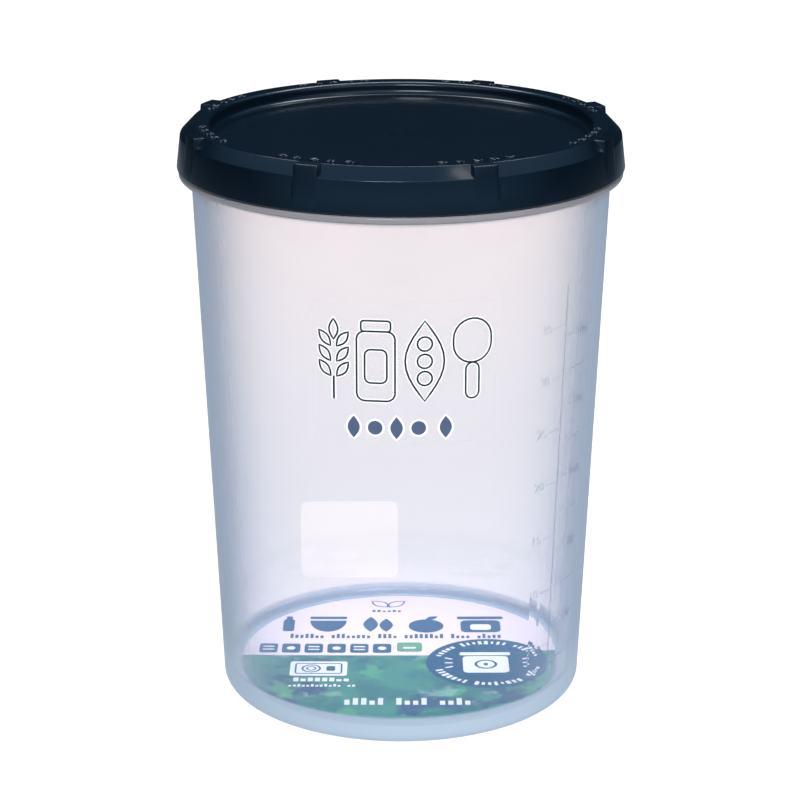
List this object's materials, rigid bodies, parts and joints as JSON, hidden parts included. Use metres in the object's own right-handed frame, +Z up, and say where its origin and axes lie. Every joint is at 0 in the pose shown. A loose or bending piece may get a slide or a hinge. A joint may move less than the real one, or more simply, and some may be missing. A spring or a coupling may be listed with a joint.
{
  "type": "screw-top storage jar",
  "caption": "Round tapered translucent food storage jar with a flanged neck, a ribbed dark screw lid with a recessed stacking top, a seal ring, a film label and a floor card.",
  "frame": {"origin": "centre of the foot ring, on the plane that the jar stands on", "axes": "+Z up along the jar's axis, -Y towards the front with the film label, +X to the right seen from the front"},
  "size_m": [0.1272, 0.1272, 0.1694],
  "materials": {
    "jar_plastic": "natural translucent polypropylene, smooth outside",
    "lid_plastic": "moulded glossy, dark navy",
    "seal_rubber": "soft silicone, matt",
    "label_film": "clear self-adhesive film with dark line print",
    "printed_card": "coated card, printed pale above and green wash below"
  },
  "bodies": {
    "jar_body": {"jar": "jar_plastic", "front_label": "label_film", "base_card": "printed_card"},
    "seal_body": {"sealing_ring": "seal_rubber"},
    "lid_body": {"lid": "lid_plastic"}
  },
  "joints": [
    {"name": "lid_lift", "type": "slide", "parent": "jar_body", "child": "seal_body", "axis": [0, 0, 1], "range_m": [0, 0.021]},
    {"name": "lid_turn", "type": "hinge", "parent": "seal_body", "child": "lid_body", "pos_m": [0, 0, 0.16], "axis": [0, 0, 1], "range_deg": [0, 630]}
  ],
  "couplings": [
    {"joint": "lid_lift", "follows": "lid_turn", "m_per_rad": 0.0019099}
  ]
}
